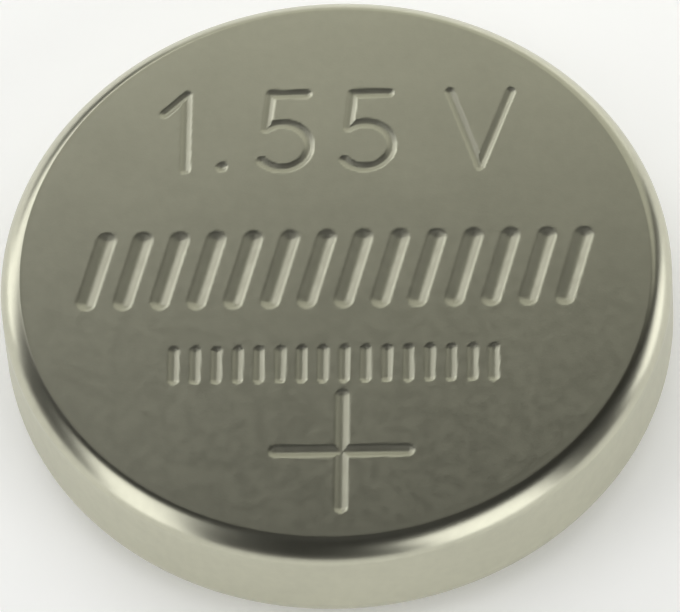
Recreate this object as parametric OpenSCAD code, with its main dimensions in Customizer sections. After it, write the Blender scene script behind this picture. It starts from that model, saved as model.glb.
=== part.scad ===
// Button cell: a silver oxide cell 9.5 mm across and 2.05 mm high, in millimetres.
// It lies on its negative contact, which is the plane z = 0, with the positive face up.
// The sheet-metal pieces are bent strips turned about the axis. What lies between them takes
// its outline from theirs, so it fits whatever the sizes are.

/* [Cell] */
// Diameter over the can
cell_d = 9.5; // [9:0.1:12]
// Height from the negative contact to the positive face
cell_h = 2.05; // [1.95:0.05:3.6]

/* [Positive can] */
// Thickness of the plated steel sheet
can_wall = 0.2; // [0.16:0.01:0.22]
// Outer radius between the positive face and the side
corner_r = 0.32; // [0.26:0.02:0.4]
// Outer radius of the crimped edge
crimp_r = 0.42; // [0.34:0.02:0.48]
// Angle that the edge is bent through
crimp_angle = 70; // [60:1:78]
// Height of the crimped edge above the negative contact
crimp_lift = 0.2; // [0.16:0.01:0.26]

/* [Negative cap] */
// Thickness of the clad sheet
cap_wall = 0.18; // [0.14:0.01:0.19]
// Outer radius round the negative contact
contact_r = 0.3; // [0.22:0.02:0.36]
// Height of the shoulder above the contact
shoulder_h = 0.5; // [0.46:0.01:0.56]
// Width of the shoulder, from the neck to the skirt
shoulder_w = 0.37; // [0.36:0.01:0.6]
// Outer radius at the shoulder's outer edge
shoulder_r = 0.25; // [0.22:0.01:0.28]
// Radius of the corner between neck and shoulder
neck_r = 0.07; // [0.04:0.01:0.08]
// Gap left inside the folded rim
fold_gap = 0.02; // [0.01:0.01:0.06]
// How far the folded-back ply reaches below the start of the crimp
ply_drop = 0.06; // [0:0.01:0.1]

/* [Gasket] */
// Thickness between the folded rim and the can
gasket_wall = 0.23; // [0.18:0.01:0.3]
// Thickness of the foot between the folded rim and the film
gasket_foot = 0.12; // [0.08:0.01:0.15]
// How far the foot reaches inside the cap's skirt
foot_reach = 0.08; // [0.04:0.01:0.2]
// Width of the ring that shows between neck and crimp
gasket_show = 0.3; // [0.24:0.01:0.34]
// Height of that ring above the contact
gasket_lift = 0.26; // [0.22:0.01:0.3]

/* [Active pieces] */
// Thickness of the cathode pellet
pellet_h = 0.5; // [0.46:0.01:0.52]
// Thickness of the barrier film
film_h = 0.08; // [0.04:0.01:0.1]
// Distance from the film's edge to the can
film_inset = 0.15; // [0.1:0.01:0.25]
// Thickness of the absorbent disc
absorbent_h = 0.25; // [0.2:0.01:0.28]
// Clearance round the absorbent disc
absorbent_gap = 0.02; // [0.01:0.01:0.05]
// Thickness of the support ring's sheet
ring_wall = 0.08; // [0.05:0.01:0.1]
// Height of the support ring
ring_h = 0.34; // [0.2:0.02:0.36]
// Width of the support ring's flange
ring_w = 0.5; // [0.3:0.05:0.8]

/* [Stamped marks] */
// Depth of every mark
mark_depth = 0.04; // [0.02:0.01:0.08]
// Length of each stroke of the plus sign
plus_l = 1.85; // [1.2:0.05:2.2]
// Width of the plus sign's strokes
plus_w = 0.17; // [0.1:0.01:0.24]
// Distance of the plus sign below the middle
plus_y = 3.05; // [2.9:0.05:3.1]
// Distance of the plus sign to the right of the middle
plus_x = 0.13; // [-0.3:0.01:0.3]
// Height of the figures
figure_h = 1.28; // [1:0.02:1.4]
// Width of the figures' strokes
figure_w = 0.11; // [0.08:0.01:0.16]
// Gap between neighbouring figures
figure_gap = 0.46; // [0.2:0.02:0.5]
// Distance of the figures' feet from the middle
figure_y = 1.72; // [1.6:0.02:1.9]
// Number of slots in the hatched band
slot_n = 14; // [6:1:16]
// Distance between neighbouring slots
slot_pitch = 0.52; // [0.46:0.01:0.54]
// Width of each slot
slot_w = 0.26; // [0.14:0.01:0.3]
// Height of the hatched band
band_h = 1.3; // [0.8:0.05:1.5]
// Lean of the slots from upright, in degrees
slot_lean = 14; // [0:1:20]
// Number of ticks in the row under the band
tick_n = 16; // [6:1:16]
// Distance between neighbouring ticks
tick_pitch = 0.3; // [0.26:0.01:0.32]
// Width of each tick
tick_w = 0.12; // [0.08:0.01:0.16]
// Height of the row of ticks
tick_h = 0.6; // [0.4:0.02:0.7]
// Distance of the row's middle below the middle of the face
tick_y = 1.6; // [1.5:0.02:1.64]

/* [Hidden] */
$fn = 96;

// Can: the radius inside its wall, and the centres of its two bends
cell_r = cell_d / 2;
can_in_r = cell_r - can_wall;
corner_c = [cell_r - corner_r, cell_h - corner_r];
mouth_r = cell_r - can_wall - gasket_wall - cap_wall - fold_gap - shoulder_w + gasket_show;
crimp_in_r = crimp_r - can_wall;
lip_l = exact((cell_r - crimp_r + crimp_in_r * cos(crimp_angle) - mouth_r) / sin(crimp_angle));
crimp_c = [cell_r - crimp_r,
           exact(crimp_lift + crimp_r * sin(crimp_angle) + lip_l * cos(crimp_angle))];

// Stack of flat pieces under the positive face
pellet_z = cell_h - can_wall - pellet_h;
film_z = pellet_z - film_h;
absorbent_z = film_z - absorbent_h;

// Cap: outer radii of neck and skirt, and the centres of its bends
skirt_r = can_in_r - gasket_wall - cap_wall - fold_gap;
neck_out_r = skirt_r - shoulder_w;
contact_c = [neck_out_r - contact_r, contact_r];
neck_c = [neck_out_r + neck_r, shoulder_h - neck_r];
shoulder_c = [skirt_r - shoulder_r, shoulder_h + shoulder_r];
fold_r = fold_gap / 2 + cap_wall;
fold_top = film_z - gasket_foot;
fold_c = [skirt_r + fold_gap / 2, fold_top - fold_r];
ply_z = crimp_c[1] - ply_drop;
foot_in_r = skirt_r - cap_wall - foot_reach;

// A length to the nearest 0.1 micron, so that the runs and bends beside it share their edges
function exact(length) = round(length * 10000) / 10000;

// The point at radius r and angle a from c
function polar(c, r, a) = c + r * [cos(a), sin(a)];

// Points along an arc, to outline what a bend encloses
function arc(c, r, from, to) = [for (i = [0 : 4]) polar(c, r, from + i * (to - from) / 4)];

// Section of a strip bent about c, with its outside at radius r, between two angles
module bend(c, r, wall, from, to) {
    side = 2 * r;
    translate(c) intersection() {
        difference() {
            circle(r = r);
            circle(r = r - wall);
        }
        rotate(from) translate([-side, 0]) square([2 * side, side]);
        rotate(to) translate([-side, -side]) square([2 * side, side]);
    }
}

// Section of a straight run between two radii and two heights
module run(r0, r1, z0, z1) {
    translate([r0, z0]) square([r1 - r0, z1 - z0]);
}

// The small square ties the lip to its bend across the slanting line between them
module can_section() {
    run(0, corner_c[0], cell_h - can_wall, cell_h);
    bend(corner_c, corner_r, can_wall, 0, 90);
    run(can_in_r, cell_r, crimp_c[1], corner_c[1]);
    bend(crimp_c, crimp_r, can_wall, -crimp_angle, 0);
    translate(crimp_c) rotate(-crimp_angle) translate([crimp_in_r, -lip_l]) {
        square([can_wall, lip_l]);
        translate([can_wall / 4, lip_l - can_wall / 4]) square(can_wall / 2);
    }
}

// What the can encloses, and the room under its mouth: out to the middle of its sheet, less the sheet
module can_inside_section() {
    half = can_wall / 2;
    tip = polar(crimp_c, crimp_r - half, -crimp_angle) - lip_l * [sin(crimp_angle), cos(crimp_angle)];
    difference() {
        polygon(concat([[0, 0], [tip[0], 0], tip],
                       arc(crimp_c, crimp_r - half, -crimp_angle, 0),
                       arc(corner_c, corner_r - half, 0, 90),
                       [[0, cell_h - half]]));
        can_section();
    }
}

module cap_section() {
    run(0, contact_c[0], 0, cap_wall);
    bend(contact_c, contact_r, cap_wall, -90, 0);
    run(neck_out_r - cap_wall, neck_out_r, contact_c[1], neck_c[1]);
    bend(neck_c, neck_r + cap_wall, cap_wall, 90, 180);
    run(neck_c[0], shoulder_c[0], shoulder_h, shoulder_h + cap_wall);
    bend(shoulder_c, shoulder_r, cap_wall, -90, 0);
    run(skirt_r - cap_wall, skirt_r, shoulder_c[1], fold_c[1]);
    bend(fold_c, fold_r, cap_wall, 0, 180);
    run(skirt_r + fold_gap, skirt_r + fold_gap + cap_wall, ply_z, fold_c[1]);
}

// What the cap encloses up to a height: out to the middle of its sheet, less the sheet
module cap_inside_section(top) {
    half = cap_wall / 2;
    difference() {
        polygon(concat([[0, half]],
                       arc(contact_c, contact_r - half, -90, 0),
                       arc(neck_c, neck_r + half, 180, 90),
                       arc(shoulder_c, shoulder_r - half, -90, 0),
                       [[skirt_r - half, top], [0, top]]));
        cap_section();
    }
}

module ring_section() {
    run(can_in_r - ring_w, can_in_r, pellet_z, pellet_z + ring_wall);
    run(can_in_r - ring_wall, can_in_r, pellet_z, pellet_z + ring_h);
}

module film_section() {
    run(0, can_in_r - film_inset, film_z, pellet_z);
}

// Outline of a straight stroke with round ends
module stroke(a, b, w) {
    span = b - a;
    translate(a) rotate(atan2(span[1], span[0])) translate([0, -w / 2]) square([norm(span), w]);
    translate(a) circle(d = w);
    translate(b) circle(d = w);
}

// Outline of a stroke along an arc about c, between two angles, with a round end at the first
module arc_stroke(c, r, from, to, w) {
    outer = r + w / 2;
    difference() {
        translate(c) circle(r = outer);
        translate(c) circle(r = outer - w);
        translate(c) polygon([[0, 0], polar([0, 0], 3 * r, from), polar([0, 0], 3 * r, (from + to) / 2 - 180),
                              polar([0, 0], 3 * r, to)]);
    }
    translate(polar(c, r, from)) circle(d = w);
}

// Outline of the strokes through a list of points, which are in figure heights from the foot
module figure_line(at, points) {
    for (i = [1 : len(points) - 1])
        stroke(at + figure_h * points[i - 1], at + figure_h * points[i], figure_w);
}

module figure_one(at) {
    figure_line(at, [[0, 0.76], [0.24, 1], [0.24, 0]]);
}

module figure_point(at) {
    translate(at + figure_h * [0.05, 0.03]) circle(d = 1.2 * figure_w);
}

module figure_five(at) {
    bowl_r = 0.3;
    bowl_c = [0.26, bowl_r];
    foot = -140;
    top = 128;
    figure_line(at, [[0.52, 1], [0.12, 1], polar(bowl_c, bowl_r, top)]);
    arc_stroke(at + figure_h * bowl_c, figure_h * bowl_r, foot, top, figure_w);
}

module figure_vee(at) {
    figure_line(at, [[0, 1], [0.34, 0], [0.68, 1]]);
}

// The nominal voltage in plain figures, centred on the axis
module figures() {
    one_w = 0.24 * figure_h;
    point_w = 0.1 * figure_h;
    five_w = 0.56 * figure_h;
    vee_w = 0.68 * figure_h;
    space_w = 0.28 * figure_h;
    total = one_w + point_w + 2 * five_w + space_w + vee_w + 4 * figure_gap;
    x1 = -total / 2;
    x2 = x1 + one_w + figure_gap;
    x3 = x2 + point_w + figure_gap;
    x4 = x3 + five_w + figure_gap;
    x5 = x4 + five_w + figure_gap + space_w;
    figure_one([x1, figure_y]);
    figure_point([x2, figure_y]);
    figure_five([x3, figure_y]);
    figure_five([x4, figure_y]);
    figure_vee([x5, figure_y]);
}

module hatched_band() {
    half = (band_h - slot_w) / 2;
    lean = exact(half * tan(slot_lean));
    for (i = [0 : slot_n - 1]) {
        x = (i - (slot_n - 1) / 2) * slot_pitch;
        stroke([x - lean, -half], [x + lean, half], slot_w);
    }
}

module tick_row() {
    half = (tick_h - tick_w) / 2;
    for (i = [0 : tick_n - 1]) {
        x = (i - (tick_n - 1) / 2) * tick_pitch;
        stroke([x, -tick_y - half], [x, -tick_y + half], tick_w);
    }
}

module plus_sign() {
    arm = plus_l / 2;
    stroke([plus_x, -plus_y - arm], [plus_x, -plus_y + arm], plus_w);
    stroke([plus_x - arm, -plus_y], [plus_x + arm, -plus_y], plus_w);
}

module positive_can() {
    color("#9b9a86") difference() {
        rotate_extrude() can_section();
        translate([0, 0, cell_h - mark_depth]) linear_extrude(2 * mark_depth) {
            figures();
            hatched_band();
            tick_row();
            plus_sign();
        }
    }
}

module negative_cap() {
    color("#bcbba7") rotate_extrude() cap_section();
}

// Fills the room between can and cap, from the crimp's mouth to the film
module gasket() {
    color("#d9d6c8") rotate_extrude() difference() {
        intersection() {
            can_inside_section();
            union() {
                run(neck_out_r - contact_r, can_in_r, gasket_lift, fold_top);
                run(foot_in_r, can_in_r, gasket_lift, pellet_z);
            }
        }
        cap_section();
        cap_inside_section(fold_top);
        film_section();
    }
}

module cathode_pellet() {
    color("#2f2f31") rotate_extrude() difference() {
        intersection() {
            can_inside_section();
            run(0, cell_r, pellet_z, cell_h);
        }
        ring_section();
    }
}

module support_ring() {
    color("#b4b4b0") rotate_extrude() ring_section();
}

module barrier_film() {
    color("#c9b98a") rotate_extrude() film_section();
}

module absorbent_disc() {
    color("#efeee6") translate([0, 0, absorbent_z])
        cylinder(h = absorbent_h, r = foot_in_r - absorbent_gap);
}

module zinc_anode() {
    color("#83878d") rotate_extrude() cap_inside_section(absorbent_z);
}

positive_can();
negative_cap();
gasket();
cathode_pellet();
support_ring();
barrier_film();
absorbent_disc();
zinc_anode();
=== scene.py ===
"""Dresses a packed button cell as fine turned and stamped meshes with their real finishes.

Shapes are worked out in millimetres and stored in metres. The axis of the cell is Z.
"""

import math

import bpy
import numpy as np
from mathutils import Matrix, Vector


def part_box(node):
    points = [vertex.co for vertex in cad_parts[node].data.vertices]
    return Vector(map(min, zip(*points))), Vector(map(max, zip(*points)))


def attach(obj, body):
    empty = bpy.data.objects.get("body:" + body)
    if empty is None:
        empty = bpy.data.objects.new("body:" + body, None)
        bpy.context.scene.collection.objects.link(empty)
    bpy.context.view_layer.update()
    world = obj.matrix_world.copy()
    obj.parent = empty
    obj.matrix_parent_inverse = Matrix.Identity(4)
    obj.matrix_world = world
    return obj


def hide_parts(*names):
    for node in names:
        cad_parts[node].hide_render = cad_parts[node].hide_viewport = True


bl_info = {
    "name": "Button Cell",
    "version": (1, 0, 0),
    "blender": (4, 5, 0),
    "location": "View3D > Sidebar > Button Cell",
    "description": "Builds a crimped button cell piece by piece, with its stage",
    "category": "Add Mesh",
}

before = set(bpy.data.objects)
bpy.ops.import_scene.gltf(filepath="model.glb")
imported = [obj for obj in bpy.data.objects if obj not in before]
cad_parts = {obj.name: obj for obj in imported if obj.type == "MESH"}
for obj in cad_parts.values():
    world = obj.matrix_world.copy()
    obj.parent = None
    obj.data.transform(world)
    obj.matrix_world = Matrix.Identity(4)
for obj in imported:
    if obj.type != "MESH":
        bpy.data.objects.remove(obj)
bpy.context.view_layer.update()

MM = 0.001


def reach(node):
    """Lowest height, highest height and outer radius of a solid, in millimetres."""
    low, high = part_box(node)
    return low.z / MM, high.z / MM, high.x / MM


# The pellet fills the can and the anode lies on the cap's sheet, so they give both thicknesses
CAN_LOW, FACE_Z, CAN_R = reach("positive_can")
PELLET_Z, _, CAN_IN_R = reach("cathode_pellet")
FILM_Z, _, FILM_R = reach("barrier_film")
GASKET_Z = reach("gasket")[0]
CAP_R = reach("negative_cap")[2]
CAP_WALL = reach("zinc_anode")[0]
CAN_WALL = CAN_R - CAN_IN_R


def linear(code):
    """An sRGB hex colour such as 'C6C4AE' as linear red, green, blue and alpha."""
    srgb = [int(code[i:i + 2], 16) / 255 for i in (0, 2, 4)]
    return [c / 12.92 if c <= 0.04045 else ((c + 0.055) / 1.055) ** 2.4 for c in srgb] + [1.0]


# Properties: sizes in metres, colours and roughness


def length(name, description, millimetres):
    """A size that is set in the scene's unit, with its default in millimetres."""
    return bpy.props.FloatProperty(name=name, description=description, default=millimetres * MM,
                                   min=0.0, unit="LENGTH", precision=6)


def colour(name, description, code):
    """A colour whose default is an sRGB hex value."""
    return bpy.props.FloatVectorProperty(name=name, description=description, default=linear(code),
                                         size=4, min=0.0, max=1.0, subtype="COLOR")


def share(name, description, default):
    """A number from 0 to 1."""
    return bpy.props.FloatProperty(name=name, description=description, default=default,
                                   min=0.0, max=1.0, subtype="FACTOR")


class CellSizes(bpy.types.PropertyGroup):
    """Sizes of the sheet-metal pieces and the gasket, which the solids' boxes don't give."""

    corner_r: length("Corner radius", "Outer radius the corner is drawn to before coining", 0.32)
    coin_w: length("Coined width", "How far the coined corner reaches into the face", 0.29)
    coin_h: length("Coined height", "How far the coined corner reaches down the side", 0.30)
    crimp_r: length("Crimp radius", "Outer radius of the crimped edge", 0.42)
    mouth_r: length("Mouth radius", "Radius that the crimped edge leaves open, inside", 4.05)
    edge_r: length("Cut edge radius", "Rounding of the sheet's cut edges", 0.02)
    contact_r: length("Contact radius", "Outer radius round the negative contact", 0.3)
    neck_r: length("Neck radius", "Radius of the corner between neck and shoulder", 0.07)
    shoulder_r: length("Shoulder radius", "Outer radius at the shoulder's outer edge", 0.25)
    shoulder_w: length("Shoulder width", "From the neck to the skirt", 0.37)
    shoulder_h: length("Shoulder height", "Height of the shoulder above the contact", 0.5)
    fold_gap: length("Fold gap", "Gap inside the folded rim", 0.02)
    ply_drop: length("Ply drop", "From the start of the crimp down to the folded ply's edge", 0.06)
    foot_h: length("Foot height", "Thickness of the gasket's foot over the fold", 0.12)
    foot_reach: length("Foot reach", "How far the gasket's foot reaches inside the skirt", 0.08)
    swell: length("Swell", "How far the squeezed gasket bulges in the mouth", 0.03)
    coin_power: bpy.props.FloatProperty(
        name="Coined power", description="2 for a round corner, less for a flatter one",
        default=1.5, min=1.1, max=3.0)
    crimp_angle: bpy.props.FloatProperty(
        name="Crimp angle", description="Angle that the can's edge is bent through",
        default=math.radians(70), subtype="ANGLE")


class MarkSizes(bpy.types.PropertyGroup):
    """Sizes of what is stamped into the positive face."""

    depth: length("Depth", "Depth of the deepest mark", 0.04)
    soft: length("Softness", "How far a groove's rounded edge reaches beyond its stroke", 0.03)
    figure_h: length("Figure height", "Height of the figures", 1.28)
    figure_w: length("Figure stroke", "Width of the figures' strokes", 0.11)
    figure_gap: length("Figure gap", "Gap between neighbouring figures", 0.46)
    figure_y: length("Figure place", "From the middle to the figures' feet", 1.72)
    slot_pitch: length("Slot pitch", "Between neighbouring slots", 0.52)
    slot_w: length("Slot width", "Width of each slot", 0.26)
    band_h: length("Band height", "Height of the hatched band", 1.3)
    tick_pitch: length("Tick pitch", "Between neighbouring ticks", 0.3)
    tick_w: length("Tick width", "Width of each tick", 0.12)
    tick_h: length("Tick height", "Height of the row of ticks", 0.6)
    tick_y: length("Tick place", "From the middle to the middle of the row", 1.6)
    plus_l: length("Plus length", "Length of the plus sign's strokes", 1.85)
    plus_w: length("Plus stroke", "Width of the plus sign's strokes", 0.17)
    plus_y: length("Plus place", "From the middle down to the plus sign", 3.05)
    plus_x: length("Plus offset", "From the middle to the right to the plus sign", 0.13)
    flank: bpy.props.FloatProperty(
        name="Flank", description="Depth of a groove for its half width",
        default=0.3, min=0.05, max=1.0)
    slot_n: bpy.props.IntProperty(
        name="Slots", description="Slots in the band", default=14, min=1)
    tick_n: bpy.props.IntProperty(
        name="Ticks", description="Ticks in the row", default=16, min=1)
    slot_lean: bpy.props.FloatProperty(
        name="Slot lean", description="Lean of the slots from upright",
        default=math.radians(14), subtype="ANGLE")


class Finishes(bpy.types.PropertyGroup):
    """Colours and roughness of the finishes."""

    nickel: colour("Nickel plate", "Nickel plating on the can", "C6C5B2")
    clad: colour("Nickel clad", "Outside of the cap", "CBC9B6")
    nylon: colour("Nylon", "The gasket", "D8D3C0")
    oxide: colour("Silver oxide", "The cathode pellet", "2B2B2D")
    ring: colour("Plain steel", "The support ring", "BDBDB8")
    film: colour("Membrane", "The barrier film", "C9B27A")
    felt: colour("Felt", "The absorbent disc", "ECEAE0")
    gel: colour("Zinc gel", "The anode", "6E7277")
    paper: colour("Stage", "The sheet that the cell lies on", "F6F6F4")
    face_rough: share("Face roughness", "Satin grain of the can's face", 0.36)
    corner_rough: share("Corner roughness", "Burnished corner of the can", 0.28)
    wall_rough: share("Side roughness", "Drawn side of the can", 0.4)
    crimp_rough: share("Crimp roughness", "Closed edge of the can", 0.32)


# Sections: a section is an array of strips, one row each: the radius, height and outward normal
# where the strip starts, and the same where it ends. Angles in sections are in degrees.


def strips(points, normals):
    """Strips between neighbouring points, each with the normals at its own two ends."""
    rows = np.hstack([points, normals])
    return np.hstack([rows[:-1], rows[1:]])


def straight(start, end, normal):
    """One strip along a line, with one normal."""
    return strips(np.array([start, end]), np.array([normal, normal]))


def bend(centre, radius, start, end, steps, side=1):
    """Strips along an arc, centre + radius * (cos a, sin a). side is 1 where the material lies
    inside the arc and -1 where it lies outside, which turns the normals towards the centre."""
    a = np.radians(np.linspace(start, end, steps + 1))
    spoke = np.stack([np.cos(a), np.sin(a)], axis=1)
    return strips(np.array(centre) + radius * spoke, side * spoke)


def coined(centre, width, height, power, steps):
    """Strips over the can's coined corner, from the face to the side: the superellipse
    x = width sin(a)^(2 / power), y = height cos(a)^(2 / power) about its centre. A power of 2
    is round, and less is flatter in the middle. The points crowd towards both ends.

    The normal is (height sin(a)^(2 - 2 / power), width cos(a)^(2 - 2 / power)), made a unit."""
    a = math.pi / 4 * (1 - np.cos(np.linspace(0, math.pi, steps + 1)))
    both = np.clip(np.stack([np.sin(a), np.cos(a)], axis=1), 1e-9, 1)
    normals = both ** (2 - 2 / power) * (height, width)
    normals /= np.linalg.norm(normals, axis=1)[:, None]
    return strips(np.array(centre) + (width, height) * both ** (2 / power), normals)


def cut_edge(corner, along, wall, radius, steps=2):
    """The rounded cut end of a sheet: a quarter arc, the flat, and another quarter arc.

    corner is the sharp corner that the end starts from, along the direction that the sheet ends
    in, and the wall lies to the right of that direction."""
    a = math.radians(along)
    ahead = np.array([math.cos(a), math.sin(a)])
    right = np.array([math.sin(a), -math.cos(a)])
    first = np.array(corner) - radius * ahead + radius * right
    second = first + (wall - 2 * radius) * right
    return np.vstack([
        bend(first, radius, along + 90, along, steps),
        straight(first + radius * ahead, second + radius * ahead, ahead),
        bend(second, radius, along, along - 90, steps)])


def reverse(section):
    """The same section walked the other way."""
    return np.hstack([section[::-1, 4:], section[::-1, :4]])


def other_side(section):
    """The section that touches this one from the piece on its other side."""
    return section * np.array([1, 1, -1, -1, 1, 1, -1, -1])


def across(start, end):
    """The unit normal on the left of a line, which is outside when walking clockwise."""
    line = np.array(end) - np.array(start)
    return np.array([-line[1], line[0]]) / np.hypot(*line)


class Plan:
    """Centres and radii that neighbouring sections share, in millimetres."""

    def __init__(self, sizes):
        sine, cosine = math.sin(sizes.crimp_angle), math.cos(sizes.crimp_angle)
        self.edge = sizes.edge_r / MM
        self.corner_r = sizes.corner_r / MM
        self.corner_c = (CAN_R - self.corner_r, FACE_Z - self.corner_r)
        self.coin_w, self.coin_h = sizes.coin_w / MM, sizes.coin_h / MM
        self.coin_power = sizes.coin_power
        self.coin_c = (CAN_R - self.coin_w, FACE_Z - self.coin_h)
        self.turn = math.degrees(sizes.crimp_angle)
        self.crimp_r = sizes.crimp_r / MM
        self.crimp_in = self.crimp_r - CAN_WALL
        self.lip = (CAN_R - self.crimp_r + self.crimp_in * cosine - sizes.mouth_r / MM) / sine
        self.crimp_c = (CAN_R - self.crimp_r,
                        CAN_LOW + self.crimp_r * sine + self.lip * cosine)
        self.lip_normal = np.array([cosine, -sine])
        self.lip_ahead = np.array([-sine, -cosine])
        self.lip_foot = np.array(self.crimp_c) + self.crimp_r * self.lip_normal
        self.lip_foot_in = self.lip_foot - CAN_WALL * self.lip_normal
        self.tip = self.lip_foot + self.lip * self.lip_ahead
        self.tip_in = self.tip - CAN_WALL * self.lip_normal
        self.half_gap = sizes.fold_gap / MM / 2
        self.ply_in = CAP_R - CAP_WALL
        self.skirt_r = self.ply_in - 2 * self.half_gap
        self.skirt_in = self.skirt_r - CAP_WALL
        self.neck_out_r = self.skirt_r - sizes.shoulder_w / MM
        self.contact_r = sizes.contact_r / MM
        self.contact_c = (self.neck_out_r - self.contact_r, self.contact_r)
        self.neck_r = sizes.neck_r / MM
        self.shoulder_h = sizes.shoulder_h / MM
        self.shoulder_r = sizes.shoulder_r / MM
        self.neck_c = (self.neck_out_r + self.neck_r, self.shoulder_h - self.neck_r)
        self.shoulder_c = (self.skirt_r - self.shoulder_r, self.shoulder_h + self.shoulder_r)
        self.fold_r = self.half_gap + CAP_WALL
        self.fold_top = FILM_Z - sizes.foot_h / MM
        self.fold_c = (self.skirt_r + self.half_gap, self.fold_top - self.fold_r)
        self.ply_z = self.crimp_c[1] - sizes.ply_drop / MM
        self.foot_in_r = self.skirt_in - sizes.foot_reach / MM
        self.swell = sizes.swell / MM

    def neck_and_shoulder(self, start_z):
        """The cap's outer side from a height on the neck, over the shoulder and up the skirt."""
        neck, shoulder = self.neck_out_r, self.shoulder_h
        return np.vstack([
            straight((neck, start_z), (neck, self.neck_c[1]), (1, 0)),
            bend(self.neck_c, self.neck_r, 180, 90, 4, side=-1),
            straight((self.neck_c[0], shoulder), (self.shoulder_c[0], shoulder), (0, -1)),
            bend(self.shoulder_c, self.shoulder_r, -90, 0, 6),
            straight((self.skirt_r, self.shoulder_c[1]), (self.skirt_r, self.fold_c[1]), (1, 0)),
            bend(self.fold_c, self.half_gap, 180, 0, 4, side=-1)])

    def back_of_cap(self):
        """The cap's inner side, from the foot of the fold down to the back of the contact."""
        neck_in, shoulder_in = self.neck_out_r - CAP_WALL, self.shoulder_h + CAP_WALL
        return np.vstack([
            straight((self.skirt_in, self.fold_c[1]), (self.skirt_in, self.shoulder_c[1]),
                     (-1, 0)),
            bend(self.shoulder_c, self.shoulder_r - CAP_WALL, 0, -90, 4, side=-1),
            straight((self.shoulder_c[0], shoulder_in), (self.neck_c[0], shoulder_in), (0, 1)),
            bend(self.neck_c, self.neck_r + CAP_WALL, 90, 180, 6),
            straight((neck_in, self.neck_c[1]), (neck_in, self.contact_c[1]), (-1, 0)),
            bend(self.contact_c, self.contact_r - CAP_WALL, 0, -90, 4, side=-1)])


def can_section(plan, start_r):
    """From start_r on the face down the outside, round the cut edge and up the inside."""
    edge, normal, ahead = plan.edge, plan.lip_normal, plan.lip_ahead
    coin_c, corner_c, crimp_c = plan.coin_c, plan.corner_c, plan.crimp_c
    return np.vstack([
        straight((start_r, FACE_Z), (coin_c[0], FACE_Z), (0, 1)),
        coined(coin_c, plan.coin_w, plan.coin_h, plan.coin_power, 24),
        straight((CAN_R, coin_c[1]), (CAN_R, crimp_c[1]), (1, 0)),
        bend(crimp_c, plan.crimp_r, 0, -plan.turn, 8),
        straight(plan.lip_foot, plan.tip - edge * ahead, normal),
        cut_edge(plan.tip, -90 - plan.turn, CAN_WALL, edge),
        straight(plan.tip_in - edge * ahead, plan.lip_foot_in, -normal),
        bend(crimp_c, plan.crimp_in, -plan.turn, 0, 3, side=-1),
        straight((CAN_IN_R, crimp_c[1]), (CAN_IN_R, corner_c[1]), (-1, 0)),
        bend(corner_c, plan.corner_r - CAN_WALL, 0, 90, 3, side=-1),
        straight((corner_c[0], FACE_Z - CAN_WALL), (0, FACE_Z - CAN_WALL), (0, -1))])


def cap_section(plan):
    """From the middle of the contact up the outside, through the fold and down the inside."""
    return np.vstack([
        straight((0, 0), (plan.contact_c[0], 0), (0, -1)),
        bend(plan.contact_c, plan.contact_r, -90, 0, 16),
        plan.neck_and_shoulder(plan.contact_c[1]),
        straight((plan.ply_in, plan.fold_c[1]), (plan.ply_in, plan.ply_z + plan.edge), (-1, 0)),
        reverse(cut_edge((CAP_R, plan.ply_z), -90, CAP_WALL, plan.edge)),
        straight((CAP_R, plan.ply_z + plan.edge), (CAP_R, plan.fold_c[1]), (1, 0)),
        bend(plan.fold_c, plan.fold_r, 0, 180, 10),
        plan.back_of_cap(),
        straight((plan.contact_c[0], CAP_WALL), (0, CAP_WALL), (0, 1))])


def gasket_section(plan):
    """From the ring that shows in the can's mouth out along the can's inside, in under the
    film, over the fold, and back down the cap's outside. The ring that shows is an arc, bulged
    where the crimp has squeezed it."""
    lip_r = (plan.tip[0] + plan.tip_in[0]) / 2
    middle, half = (plan.neck_out_r + lip_r) / 2, (lip_r - plan.neck_out_r) / 2
    # The arc that is swell high over a chord of twice half
    radius = (half ** 2 + plan.swell ** 2) / (2 * plan.swell)
    spread = math.degrees(math.asin(half / radius))
    lip_end = np.array([lip_r, GASKET_Z + plan.swell])
    return np.vstack([
        bend((middle, GASKET_Z + radius), radius, -90 - spread, -90 + spread, 6),
        straight(lip_end, plan.tip_in, across(plan.tip_in, lip_end)),
        straight(plan.tip_in, plan.lip_foot_in, plan.lip_normal),
        bend(plan.crimp_c, plan.crimp_in, -plan.turn, 0, 3),
        straight((CAN_IN_R, plan.crimp_c[1]), (CAN_IN_R, PELLET_Z), (1, 0)),
        straight((CAN_IN_R, PELLET_Z), (FILM_R, PELLET_Z), (0, 1)),
        straight((FILM_R, PELLET_Z), (FILM_R, FILM_Z), (-1, 0)),
        straight((FILM_R, FILM_Z), (plan.foot_in_r, FILM_Z), (0, 1)),
        straight((plan.foot_in_r, FILM_Z), (plan.foot_in_r, plan.fold_top), (-1, 0)),
        straight((plan.foot_in_r, plan.fold_top), (plan.fold_c[0], plan.fold_top), (0, -1)),
        other_side(bend(plan.fold_c, plan.fold_r, 90, 0, 5)),
        straight((CAP_R, plan.fold_c[1]), (CAP_R, plan.ply_z), (-1, 0)),
        straight((CAP_R, plan.ply_z), (plan.ply_in, plan.ply_z), (0, 1)),
        straight((plan.ply_in, plan.ply_z), (plan.ply_in, plan.fold_c[1]), (1, 0)),
        other_side(reverse(plan.neck_and_shoulder(GASKET_Z + plan.swell)))])


# Surfaces: points, quads and triangles, and a normal for every corner of every face


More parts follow.
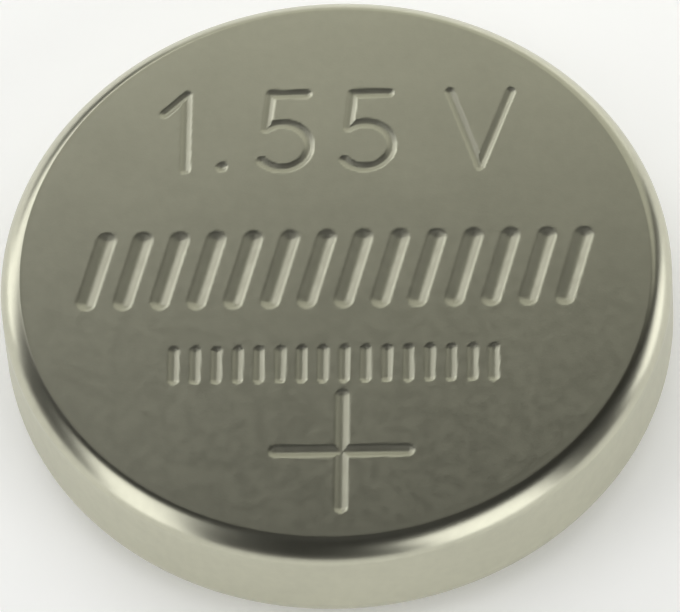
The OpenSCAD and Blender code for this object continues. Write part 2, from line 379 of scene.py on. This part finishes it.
def turned(section, angles):
    """The surface that a section makes when it is turned about the axis.

    A point at radius r and height z goes to (r cos a, r sin a, z) for every angle a. A point on
    the axis is one vertex. A section whose ends meet off the axis closes on itself."""
    points = np.vstack([section[:, :2], section[-1:, 4:6]])
    if np.allclose(points[0], points[-1], atol=1e-6):
        points = points[:-1]
    rows, count = len(points), len(angles)
    on_axis = points[:, 0] < 1e-9
    first = np.concatenate([[0], np.cumsum(np.where(on_axis, 1, count))])
    spokes = np.stack([np.cos(angles), np.sin(angles)], axis=1)
    places = [np.array([[0, 0, z]]) if pole else np.column_stack([r * spokes, np.full(count, z)])
              for (r, z), pole in zip(points, on_axis)]
    step, after = np.arange(count), np.roll(np.arange(count), -1)
    # Above 0 where the normals lie on the left of the walk, and the faces turn outwards as they are
    walk = np.sum((section[:, 4] - section[:, 0]) * (section[:, 3] + section[:, 7])
                  - (section[:, 5] - section[:, 1]) * (section[:, 2] + section[:, 6]))
    faces, normals = {3: [], 4: []}, {3: [], 4: []}

    def swung(normal, at):
        """A section's normal turned to the angles numbered at."""
        return np.column_stack([normal[0] * spokes[at], np.full(count, normal[1])])

    for i, strip in enumerate(section):
        j = (i + 1) % rows
        near, far = first[i] + step * (not on_axis[i]), first[j] + step * (not on_axis[j])
        near_b, far_b = first[i] + after * (not on_axis[i]), first[j] + after * (not on_axis[j])
        corners = [(near, swung(strip[2:4], step)), (far, swung(strip[6:8], step)),
                   (far_b, swung(strip[6:8], after)), (near_b, swung(strip[2:4], after))]
        if on_axis[i]:
            corners = corners[:3]
        elif on_axis[j]:
            corners = [corners[0], corners[1], corners[3]]
        if walk < 0:
            corners = corners[::-1]
        faces[len(corners)].append(np.stack([c[0] for c in corners], axis=1))
        normals[len(corners)].append(np.stack([c[1] for c in corners], axis=1))
    return np.vstack(places), faces, normals


def to_stroke(x, y, start, end):
    """Distance from every point (x, y) to a straight stroke. Its nearest point lies at the share
    along = (point - start) . run / run . run of the run from start to end, held to 0 to 1."""
    run = np.array(end) - np.array(start)
    along = ((x - start[0]) * run[0] + (y - start[1]) * run[1]) / max(run @ run, 1e-12)
    along = np.clip(along, 0, 1)
    return np.hypot(x - start[0] - along * run[0], y - start[1] - along * run[1])


def to_arc(x, y, centre, radius, start, end):
    """Distance from every point (x, y) to an arc, with angles in degrees. Its nearest point lies
    at the point's own angle about the centre, held to the arc's angles."""
    middle, half = math.radians((start + end) / 2), math.radians(abs(end - start) / 2)
    turn = np.arctan2(y - centre[1], x - centre[0]) - middle
    turn = np.clip((turn + math.pi) % (2 * math.pi) - math.pi, -half, half) + middle
    return np.hypot(x - centre[0] - radius * np.cos(turn), y - centre[1] - radius * np.sin(turn))


def figures(marks):
    """The nominal voltage in plain figures: straight strokes and arcs, each with its width.
    Points and advances are shares of the figures' height, from the left foot of each."""
    height, gap = marks.figure_h / MM, marks.figure_gap / MM
    width, foot = marks.figure_w / MM, marks.figure_y / MM
    bowl, bowl_r, bowl_from, bowl_to = np.array([0.26, 0.3]), 0.3, -140, 128
    top = math.radians(bowl_to)
    one = [(0, 0.76), (0.24, 1), (0.24, 0)]
    dot = [(0.05, 0.03), (0.05, 0.03)]
    five = [(0.52, 1), (0.12, 1), bowl + bowl_r * np.array([math.cos(top), math.sin(top)])]
    space = []
    vee = [(0, 1), (0.34, 0), (0.68, 1)]
    glyphs = [(0.24, one), (0.1, dot), (0.56, five), (0.56, five), (0.28, space), (0.68, vee)]
    gaps = sum(glyph is not space for advance, glyph in glyphs) - 1
    x = -(sum(advance for advance, glyph in glyphs) * height + gaps * gap) / 2
    lines, arcs = [], []
    for advance, glyph in glyphs:
        at = np.array([x, foot])
        path = [at + height * np.array(point) for point in glyph]
        stroke = 1.2 * width if glyph is dot else width
        lines += [(start, end, stroke) for start, end in zip(path, path[1:])]
        if glyph is five:
            arcs.append((at + height * bowl, height * bowl_r, bowl_from, bowl_to, width))
        x += advance * height + (0 if glyph is space else gap)
    return lines, arcs


def mark_strokes(marks):
    """Every stroke that is stamped into the face, in millimetres."""
    lines, arcs = figures(marks)
    slot_w, tick_w = marks.slot_w / MM, marks.tick_w / MM
    half = (marks.band_h / MM - slot_w) / 2
    lean = half * math.tan(marks.slot_lean)
    for i in range(marks.slot_n):
        x = (i - (marks.slot_n - 1) / 2) * marks.slot_pitch / MM
        lines.append(((x - lean, -half), (x + lean, half), slot_w))
    half, y = (marks.tick_h / MM - tick_w) / 2, -marks.tick_y / MM
    for i in range(marks.tick_n):
        x = (i - (marks.tick_n - 1) / 2) * marks.tick_pitch / MM
        lines.append(((x, y - half), (x, y + half), tick_w))
    arm, width = marks.plus_l / MM / 2, marks.plus_w / MM
    x, y = marks.plus_x / MM, -marks.plus_y / MM
    lines += [((x, y - arm), (x, y + arm), width), ((x - arm, y), (x + arm, y), width)]
    return lines, arcs


def face_height(x, y, strokes, marks):
    """Height of the stamped face. A stroke of width w is a groove that reaches w / 2 + soft to
    each side of its line and falls as (1 + cos(pi d / reach)) / 2 at the distance d from it. The
    punch's flanks limit its depth to flank * reach. Where strokes cross, the deepest counts."""
    depth, soft = marks.depth / MM, marks.soft / MM
    fall = np.zeros(x.shape)
    lines, arcs = strokes
    groups = [(to_stroke(x, y, start, end), width) for start, end, width in lines]
    groups += [(to_arc(x, y, *arc[:4]), arc[4]) for arc in arcs]
    for distance, width in groups:
        reach = width / 2 + soft
        wave = (1 + np.cos(math.pi * np.clip(distance / reach, 0, 1))) / 2
        fall = np.maximum(fall, min(depth, marks.flank * reach) * wave)
    return FACE_Z - fall


def stamped_face(radius, marks, steps):
    """A square grid of (u, v) from -1 to 1, bent into a disc with
    x = u sqrt(1 - v^2 / 2) and y = v sqrt(1 - u^2 / 2), at the height of the stamped face.
    Normals come from the height's slope over 4 microns. The vertices round the edge are returned
    in order."""
    strokes = mark_strokes(marks)
    u, v = np.meshgrid(np.linspace(-1, 1, steps + 1), np.linspace(-1, 1, steps + 1))
    x = radius * (u * np.sqrt(1 - v * v / 2)).ravel()
    y = radius * (v * np.sqrt(1 - u * u / 2)).ravel()
    step = 0.002
    rise_x = face_height(x + step, y, strokes, marks) - face_height(x - step, y, strokes, marks)
    rise_y = face_height(x, y + step, strokes, marks) - face_height(x, y - step, strokes, marks)
    normals = np.stack([-rise_x, -rise_y, np.full(x.shape, 2 * step)], axis=1)
    normals /= np.linalg.norm(normals, axis=1)[:, None]
    places = np.stack([x, y, face_height(x, y, strokes, marks)], axis=1)
    number = np.arange((steps + 1) ** 2).reshape(steps + 1, steps + 1)
    quads = np.stack([number[:-1, :-1], number[:-1, 1:], number[1:, 1:], number[1:, :-1]], axis=-1)
    edge = np.concatenate([number[0, :-1], number[:-1, -1], number[-1, :0:-1], number[:0:-1, 0]])
    return places, quads.reshape(-1, 4), normals, edge


def can_surface(sizes, marks, steps=232, border=0.2):
    """The stamped face, and the rest of the can turned on from the face's own edge, so that
    the two share that ring of vertices. It lies on the flat, a border's width inside the corner."""
    plan = Plan(sizes)
    start_r = plan.coin_c[0] - border
    places, quads, face_normals, edge = stamped_face(start_r, marks, steps)
    angles = np.arctan2(places[edge, 1], places[edge, 0])
    shell, faces, normals = turned(can_section(plan, start_r), angles)
    number = np.concatenate([edge, len(places) + np.arange(len(shell) - len(edge))])
    faces = {n: [number[f] for f in rows] for n, rows in faces.items()}
    faces[4].append(quads)
    normals[4].append(face_normals[quads])
    return np.vstack([places, shell[len(edge):]]), faces, normals


def new_piece(name, surface, node, material):
    """Makes a piece from a surface in millimetres, which stands for a solid of the same cell."""
    old = bpy.data.objects.get(name)
    if old:
        bpy.data.objects.remove(old)
    places, faces, normals = surface
    counts = [count for count in (3, 4) if faces[count]]
    rows = [np.vstack(faces[count]) for count in counts]
    corners = np.concatenate([row.ravel() for row in rows])
    corner_normals = np.vstack([np.vstack(normals[count]).reshape(-1, 3) for count in counts])
    sides = np.repeat(counts, [len(row) for row in rows])
    mesh = bpy.data.meshes.new(name)
    mesh.vertices.add(len(places))
    mesh.vertices.foreach_set("co", (places * MM).astype(np.float32).ravel())
    mesh.loops.add(len(corners))
    mesh.loops.foreach_set("vertex_index", corners.astype(np.int32))
    mesh.polygons.add(len(sides))
    mesh.polygons.foreach_set("loop_start", (np.cumsum(sides) - sides).astype(np.int32))
    mesh.update(calc_edges=True)
    mesh.shade_smooth()
    mesh.normals_split_custom_set(corner_normals)
    if mesh.validate():
        raise RuntimeError(f"the mesh of {name} has faces that don't hold together")
    piece = bpy.data.objects.new(name, mesh)
    bpy.context.scene.collection.objects.link(piece)
    piece.data.materials.append(material)
    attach(piece, "root")
    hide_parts(node)
    return piece


def round_piece(name, section, node, material, count=256):
    """A piece that is turned all over, with evenly spaced angles."""
    angles = np.linspace(0, 2 * math.pi, count, endpoint=False)
    return new_piece(name, turned(section, angles), node, material)


# Finishes

SMOOTH = {"interpolation_type": "SMOOTHSTEP"}


def add(tree, kind, options=(), **sockets):
    """Adds a shader node. options are its own properties, and sockets its inputs by name, with _
    for a space, or by number after an i, each a value or another node's output. Returns its
    first output."""
    node = tree.nodes.new("ShaderNode" + kind)
    for key, value in dict(options).items():
        setattr(node, key, value)
    for key, value in sockets.items():
        number = key[1:]
        socket = node.inputs[int(number) if number.isdigit() else key.replace("_", " ")]
        if isinstance(value, bpy.types.NodeSocket):
            tree.links.new(value, socket)
        else:
            socket.default_value = value
    return node.outputs[0] if node.outputs else node


def finish_of(name):
    """An empty material, its node tree, and its Object coordinates in millimetres."""
    material = bpy.data.materials.get(name) or bpy.data.materials.new(name)
    material.use_nodes = True
    tree = material.node_tree
    tree.nodes.clear()
    place = add(tree, "TexCoord").node.outputs["Object"]
    return material, tree, add(tree, "VectorMath", {"operation": "SCALE"}, i0=place, Scale=1 / MM)


def shade(tree, base, value, amount):
    """A colour made lighter and darker by value, which runs from 0 to 1, by the share amount."""
    light = add(tree, "MapRange", Value=value, From_Min=0.25, From_Max=0.75, To_Min=1 - amount,
                To_Max=1 + amount)
    return add(tree, "VectorMath", {"operation": "SCALE"}, i0=tuple(base)[:3], Scale=light)


def surface_out(tree, colour_in, roughness, height=None, height_mm=0.001, **more):
    """The shader itself, with a bump whose full height is height_mm."""
    if height is not None:
        more["Normal"] = add(tree, "Bump", Strength=1.0, Distance=height_mm * MM, Height=height)
    shader = add(tree, "BsdfPrincipled", Base_Color=colour_in, Roughness=roughness, **more)
    add(tree, "OutputMaterial", Surface=shader)


def nickel_plate(colours):
    """Barrel-plated nickel on deep-drawn steel.

    The plate is warm grey. The face keeps the satin grain of the sheet, the corner was
    burnished as it was drawn over the die, and the crimped edge as it was closed."""
    material, tree, place = finish_of("nickel_plate_on_drawn_steel")
    parts = add(tree, "SeparateXYZ", Vector=place).node.outputs
    height = parts[2]
    flat = add(tree, "CombineXYZ", X=parts[0], Y=parts[1])
    radius = add(tree, "VectorMath", {"operation": "LENGTH"}, i0=flat).node.outputs["Value"]
    edge = CAN_R - 0.3
    # Tone drifts over 1.5 mm where the barrel's load shifted, and over 0.15 mm as fine mottling
    cloud = add(tree, "TexNoise", Vector=place, Scale=1 / 1.5, Detail=3.0)
    mottle = add(tree, "TexNoise", Vector=place, Scale=1 / 0.15)
    tone = add(tree, "Math", {"operation": "MULTIPLY_ADD"}, i0=cloud, i1=0.6,
               i2=add(tree, "Math", {"operation": "MULTIPLY"}, i0=mottle, i1=0.4))
    # 1 on the face inside the corner's edge and in its marks, little on the crimped edge below
    face = add(tree, "Math", {"operation": "MULTIPLY"},
               i0=add(tree, "MapRange", SMOOTH, Value=radius, From_Min=edge - 0.15,
                      From_Max=edge - 0.05, To_Min=1.0, To_Max=0.0),
               i1=add(tree, "MapRange", SMOOTH, Value=height, From_Min=FACE_Z - 0.2,
                      From_Max=FACE_Z - 0.1, To_Min=0.1, To_Max=1.0))
    # Roughness from the face over the corner, down the side and round to the crimped edge
    corner = add(tree, "MapRange", SMOOTH, Value=radius, From_Min=edge - 0.04,
                 From_Max=edge + 0.04, To_Min=colours.face_rough, To_Max=colours.corner_rough)
    side = add(tree, "MapRange", SMOOTH, Value=height, From_Min=FACE_Z - 0.45,
               From_Max=FACE_Z - 0.2, To_Min=colours.wall_rough, To_Max=corner)
    rough = add(tree, "MapRange", SMOOTH, Value=height, From_Min=CAN_LOW + 0.3,
                From_Max=CAN_LOW + 0.6, To_Min=colours.crimp_rough, To_Max=side)
    # The punch leaves the grooves a little duller than the face
    groove = add(tree, "MapRange", SMOOTH, Value=height, From_Min=FACE_Z - 0.015,
                 From_Max=FACE_Z - 0.002, To_Min=0.12, To_Max=0.0)
    rough = add(tree, "Math", {"operation": "MULTIPLY_ADD"}, i0=face, i1=groove, i2=rough)
    # The mottling changes the roughness too, on the face
    uneven = add(tree, "MapRange", SMOOTH, Value=mottle, From_Min=0.3, From_Max=0.7,
                 To_Min=-0.06, To_Max=0.06)
    uneven = add(tree, "Math", {"operation": "MULTIPLY_ADD"}, i0=uneven, i1=face, i2=1.0)
    rough = add(tree, "Math", {"operation": "MULTIPLY"}, i0=rough, i1=uneven)
    # Grain of about 40 microns on the face: coarser than plated sheet has, so that it shows
    grain = add(tree, "TexNoise", Vector=place, Scale=1 / 0.04, Roughness=0.7)
    grain = add(tree, "Math", {"operation": "MULTIPLY"}, i0=grain, i1=face)
    surface_out(tree, shade(tree, colours.nickel, tone, 0.07), rough, grain, Metallic=1.0)
    return material


def nickel_clad(colours):
    """Nickel-clad stainless strip, pressed. Bright and a little smoother than plate, with the
    strip's fine rolling lines along X."""
    material, tree, place = finish_of("nickel_clad_stainless_strip")
    # Lines 40 microns apart and 30 times as long
    along_x = add(tree, "VectorMath", {"operation": "MULTIPLY"}, i0=place, i1=(0.03, 1.0, 1.0))
    rolled = add(tree, "TexNoise", Vector=along_x, Scale=1 / 0.04)
    cloud = add(tree, "TexNoise", Vector=place, Scale=1 / 1.2)
    rough = add(tree, "MapRange", Value=rolled, From_Min=0.3, From_Max=0.7, To_Min=0.2,
                To_Max=0.28)
    surface_out(tree, shade(tree, colours.clad, cloud, 0.03), rough, rolled, 0.0006, Metallic=1.0)
    return material


def moulded_nylon(colours):
    """Nylon, injection moulded and squeezed by the crimp: pale, waxy and faintly see-through."""
    material, tree, place = finish_of("moulded_nylon")
    cloud = add(tree, "TexNoise", Vector=place, Scale=1 / 0.6, Detail=3.0)
    skin = add(tree, "TexNoise", Vector=place, Scale=1 / 0.05)
    surface_out(tree, shade(tree, colours.nylon, cloud, 0.04), 0.38, skin, IOR=1.53,
                Subsurface_Weight=0.25, Subsurface_Radius=(0.4 * MM, 0.3 * MM, 0.2 * MM),
                Subsurface_Scale=1.0)
    return material


def pressed_oxide(colours):
    """Silver oxide and graphite powder, pressed into a pellet: near black, with a grey sparkle."""
    material, tree, place = finish_of("pressed_silver_oxide")
    grains = add(tree, "TexNoise", Vector=place, Scale=1 / 0.06, Detail=4.0, Roughness=0.7)
    specks = add(tree, "TexNoise", Vector=place, Scale=1 / 0.03, Detail=1.0)
    flakes = add(tree, "MapRange", SMOOTH, Value=specks, From_Min=0.68, From_Max=0.74)
    base = add(tree, "Mix", {"data_type": "RGBA"}, i0=flakes, i7=linear("8A8A8C"),
               i6=shade(tree, colours.oxide, grains, 0.25)).node.outputs[2]
    rough = add(tree, "MapRange", SMOOTH, Value=flakes, To_Min=0.7, To_Max=0.35)
    surface_out(tree, base, rough, grains, 0.006)
    return material


def plain_steel(colours):
    """Bare cold-rolled steel, blanked and pressed, with fine rolling lines along X."""
    material, tree, place = finish_of("cold_rolled_steel")
    along_x = add(tree, "VectorMath", {"operation": "MULTIPLY"}, i0=place, i1=(0.04, 1.0, 1.0))
    rolled = add(tree, "TexNoise", Vector=along_x, Scale=1 / 0.05)
    rough = add(tree, "MapRange", Value=rolled, From_Min=0.3, From_Max=0.7, To_Min=0.26,
                To_Max=0.38)
    surface_out(tree, shade(tree, colours.ring, rolled, 0.05), rough, rolled, Metallic=1.0)
    return material


def cellophane_film(colours):
    """Cellophane over grafted polyethylene: smooth and amber, with soft ripples from swelling."""
    material, tree, place = finish_of("cellophane_film")
    ripple = add(tree, "TexNoise", Vector=place, Scale=1 / 0.8, Detail=1.0)
    surface_out(tree, shade(tree, colours.film, ripple, 0.06), 0.22, ripple, 0.01, IOR=1.47)
    return material


def cotton_felt(colours):
    """Non-woven cotton felt, cut from a sheet: matt and off-white, with fibres lying every way."""
    material, tree, place = finish_of("non_woven_cotton_felt")
    # Fibres 30 microns thick and 10 times as long, along X and along Y
    ways = [add(tree, "VectorMath", {"operation": "MULTIPLY"}, i0=place, i1=stretch)
            for stretch in ((0.1, 1.0, 1.0), (1.0, 0.1, 1.0))]
    one, other = [add(tree, "TexNoise", Vector=way, Scale=1 / 0.03) for way in ways]
    fibres = add(tree, "Math", {"operation": "MAXIMUM"}, i0=one, i1=other)
    surface_out(tree, shade(tree, colours.felt, fibres, 0.1), 0.95, fibres, 0.03, Sheen_Weight=0.3)
    return material


def zinc_gel(colours):
    """Zinc powder in thickened lye: a grey paste with grains of about 0.1 mm that catch light."""
    material, tree, place = finish_of("gelled_zinc_powder")
    cells = add(tree, "TexVoronoi", Vector=place, Scale=1 / 0.12).node
    tone = add(tree, "SeparateXYZ", Vector=cells.outputs["Color"]).node.outputs[0]
    surface_out(tree, shade(tree, colours.gel, tone, 0.3), 0.42, cells.outputs["Distance"], -0.03,
                Metallic=0.6)
    return material


def matt_paper(colours):
    """Matt white paper, with no tooth that would show at this scale. What looks at it, straight
    or in a reflection, sees it somewhat lighter than the lamps make it."""
    material, tree, place = finish_of("matt_paper")
    pulp = add(tree, "TexNoise", Vector=place, Scale=1 / 4.0, Detail=3.0)
    paper = add(tree, "BsdfDiffuse", Color=shade(tree, colours.paper, pulp, 0.004))
    rays = add(tree, "LightPath").node.outputs
    seen = add(tree, "Math", {"operation": "ADD"}, i0=rays["Is Camera Ray"],
               i1=add(tree, "Math", {"operation": "ADD"}, i0=rays["Is Glossy Ray"],
                      i1=rays["Is Transmission Ray"]))
    glow = add(tree, "Emission", Color=colours.paper,
               Strength=add(tree, "Math", {"operation": "MULTIPLY"}, i0=seen, i1=0.19))
    add(tree, "OutputMaterial", Surface=add(tree, "AddShader", i0=paper, i1=glow))
    return material


# Stage

CAMERA_TURN = math.radians(4.6)
CAMERA_RISE = math.radians(56.5)
CAMERA_ROLL = math.radians(4.6)
# In millimetres: from the camera to what it looks at, that point's height on the axis, and how
# far it then lies to the right and up in the view
CAMERA_AWAY, CAMERA_AIM, CAMERA_RIGHT, CAMERA_UP = 134.06, 1.125, 0.027, -0.021


def towards(azimuth, elevation):
    """Unit vector at an azimuth, in degrees anticlockwise from the camera's side as seen from
    above, and an elevation above the floor."""
    turn, rise = math.radians(azimuth) + CAMERA_TURN, math.radians(elevation)
    return Vector((math.sin(turn) * math.cos(rise), -math.cos(turn) * math.cos(rise),
                   math.sin(rise)))


def panel(name, foot, head, spread, away, radiance, blue=1.0):
    """A softbox from the direction foot to the direction head, both azimuth and elevation, as
    wide as spread degrees look from the cell, and away metres from it. Its power is radiance *
    pi * area, so that radiance 1 looks as bright as white paper in full light. blue is how much
    blue its light has, where 1 is white."""
    low, high = away * towards(*foot), away * towards(*head)
    centre, up = (low + high) / 2, (high - low).normalized()
    back = centre.normalized()
    data = bpy.data.lights.new(name, "AREA")
    data.shape = "RECTANGLE"
    data.size = 2 * centre.length * math.tan(math.radians(spread) / 2)
    data.size_y = (high - low).length
    data.energy = radiance * math.pi * data.size * data.size_y
    data.color = (1, 1, blue)
    lamp = bpy.data.objects.new(name, data)
    turn = Matrix((up.cross(back), up, back)).transposed().to_4x4()
    lamp.matrix_world = Matrix.Translation(centre) @ turn
    lamp.visible_camera = False
    bpy.context.scene.collection.objects.link(lamp)
    return lamp


def aim_camera():
    """A long lens looking down at the cell, rolled so that the cell's right side stands higher.
    right and up are the view's axes: the level ones turned by the roll."""
    back = towards(0, math.degrees(CAMERA_RISE))
    level = Vector((math.cos(CAMERA_TURN), math.sin(CAMERA_TURN), 0))
    rise = back.cross(level)
    right = math.cos(CAMERA_ROLL) * level - math.sin(CAMERA_ROLL) * rise
    up = math.sin(CAMERA_ROLL) * level + math.cos(CAMERA_ROLL) * rise
    data = bpy.data.cameras.new("camera")
    data.lens, data.sensor_width = 500, 36
    data.clip_start, data.clip_end = 0.01, 2.0
    camera = bpy.data.objects.new("camera", data)
    centre = MM * (Vector((0, 0, CAMERA_AIM)) + CAMERA_RIGHT * right + CAMERA_UP * up)
    turn = Matrix((right, up, back)).transposed().to_4x4()
    camera.matrix_world = Matrix.Translation(centre + CAMERA_AWAY * MM * back) @ turn
    bpy.context.scene.collection.objects.link(camera)
    bpy.context.scene.camera = camera


def lay_paper(colours, half=0.6):
    """A flat sheet of paper under the cell, which reaches half metres each way."""
    mesh = bpy.data.meshes.new("sheet")
    mesh.from_pydata([(-half, -half, 0), (half, -half, 0), (half, half, 0), (-half, half, 0)],
                     [], [(0, 1, 2, 3)])
    sheet = bpy.data.objects.new("sheet", mesh)
    sheet.data.materials.append(matt_paper(colours))
    bpy.context.scene.collection.objects.link(sheet)


def light_room(world):
    """The room as the cell mirrors it, by direction: bright where it meets the floor, dim above,
    and a touch lighter overhead and in front. up and back are the direction's parts."""
    world.use_nodes = True
    tree = world.node_tree
    tree.nodes.clear()
    direction = add(tree, "TexCoord").node.outputs["Generated"]
    parts = add(tree, "SeparateXYZ", Vector=direction).node.outputs
    back, up = parts[1], parts[2]
    overhead = add(tree, "MapRange", SMOOTH, Value=up, From_Min=0.85, From_Max=1.0, To_Max=0.05)
    front = add(tree, "MapRange", SMOOTH, Value=back, From_Min=-0.3, From_Max=0.4, To_Min=0.02,
                To_Max=0.015)
    horizon = add(tree, "MapRange", SMOOTH, Value=up, From_Max=0.1, To_Min=0.8, To_Max=0.0)
    above = add(tree, "Math", {"operation": "ADD"}, i0=overhead, i1=front)
    room = add(tree, "Math", {"operation": "ADD"}, i0=above, i1=horizon)
    add(tree, "OutputWorld", Surface=add(tree, "Background", Color=room, Strength=1.0))


def hang_lamps():
    """The softboxes that the metal mirrors, and one overhead that lights what is matt."""
    panel("front_right", (38, 0), (34.7, 40.4), 36.8, 0.2015, 1.8)
    panel("front_left", (-56, 0), (-78.3, 51), 25.7, 0.217, 1.78)
    panel("side_right", (91.7, 0.7), (119, 11), 29, 0.247, 1.9)
    panel("side_left", (-116.5, 0.3), (-163, 47.3), 20.4, 0.073, 1.85)
    panel("back", (166.4, 2), (152.5, 54.5), 64.6, 0.028, 0.62, 0.9)
    panel("fill", (0, 55), (180, 55), 70, 0.3, 1.1).visible_glossy = False


# Operators


def settings(context):
    """The three groups of settings that the operators share."""
    scene = context.scene
    return scene.button_cell_sizes, scene.button_cell_marks, scene.button_cell_finishes


class PositiveCan(bpy.types.Operator):
    """Draws the plated can with its stamped face, its side and its crimped edge"""

    bl_idname = "button_cell.positive_can"
    bl_label = "Positive can"

    def execute(self, context):
        sizes, marks, colours = settings(context)
        new_piece("can_shell", can_surface(sizes, marks), "positive_can",
                  nickel_plate(colours))
        return {"FINISHED"}


class NegativeCap(bpy.types.Operator):
    """Turns the clad cap: contact, neck, shoulder, and the skirt folded back on itself"""

    bl_idname = "button_cell.negative_cap"
    bl_label = "Negative cap"

    def execute(self, context):
        sizes, _, colours = settings(context)
        round_piece("cap_shell", cap_section(Plan(sizes)), "negative_cap",
                    nickel_clad(colours))
        return {"FINISHED"}


class Gasket(bpy.types.Operator):
    """Turns the nylon gasket, with the ring that shows between can and cap"""

    bl_idname = "button_cell.gasket"
    bl_label = "Gasket"

    def execute(self, context):
        sizes, _, colours = settings(context)
        round_piece("seal_ring", gasket_section(Plan(sizes)), "gasket",
                    moulded_nylon(colours))
        return {"FINISHED"}


class InnerPieces(bpy.types.Operator):
    """Gives the pieces sealed inside their finishes"""

    bl_idname = "button_cell.inner_pieces"
    bl_label = "Inner pieces"

    def execute(self, context):
        colours = settings(context)[2]
        finishes = {"cathode_pellet": pressed_oxide, "support_ring": plain_steel,
                    "barrier_film": cellophane_film, "absorbent_disc": cotton_felt,
                    "zinc_anode": zinc_gel}
        for node, make in finishes.items():
            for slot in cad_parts[node].material_slots:
                slot.material = make(colours)
        return {"FINISHED"}


class Stage(bpy.types.Operator):
    """Lays the paper sheet and sets the lamps and the camera"""

    bl_idname = "button_cell.stage"
    bl_label = "Stage"

    def execute(self, context):
        scene = context.scene
        scene.view_settings.view_transform = "Standard"
        scene.world = scene.world or bpy.data.worlds.new("studio")
        lay_paper(settings(context)[2])
        light_room(scene.world)
        hang_lamps()
        aim_camera()
        return {"FINISHED"}


class ButtonCellPanel(bpy.types.Panel):
    """Lists the pieces and their settings in the sidebar"""

    bl_idname = "VIEW3D_PT_button_cell"
    bl_label = "Button Cell"
    bl_space_type = "VIEW_3D"
    bl_region_type = "UI"
    bl_category = "Button Cell"

    def draw(self, context):
        for operator in OPERATORS:
            self.layout.operator(operator.bl_idname)
        for group in settings(context):
            box = self.layout.box()
            for name in group.__annotations__:
                box.prop(group, name)


GROUPS = {"button_cell_sizes": CellSizes, "button_cell_marks": MarkSizes,
          "button_cell_finishes": Finishes}
OPERATORS = (PositiveCan, NegativeCap, Gasket, InnerPieces, Stage)


def register():
    for cls in (*GROUPS.values(), *OPERATORS, ButtonCellPanel):
        bpy.utils.register_class(cls)
    for name, group in GROUPS.items():
        setattr(bpy.types.Scene, name, bpy.props.PointerProperty(type=group))


def unregister():
    for name in GROUPS:
        delattr(bpy.types.Scene, name)
    for cls in reversed((*GROUPS.values(), *OPERATORS, ButtonCellPanel)):
        bpy.utils.unregister_class(cls)


def main():
    """Builds every piece and the stage."""
    register()
    bpy.ops.button_cell.positive_can()
    bpy.ops.button_cell.negative_cap()
    bpy.ops.button_cell.gasket()
    bpy.ops.button_cell.inner_pieces()
    bpy.ops.button_cell.stage()


if __name__ == "__main__":
    main()
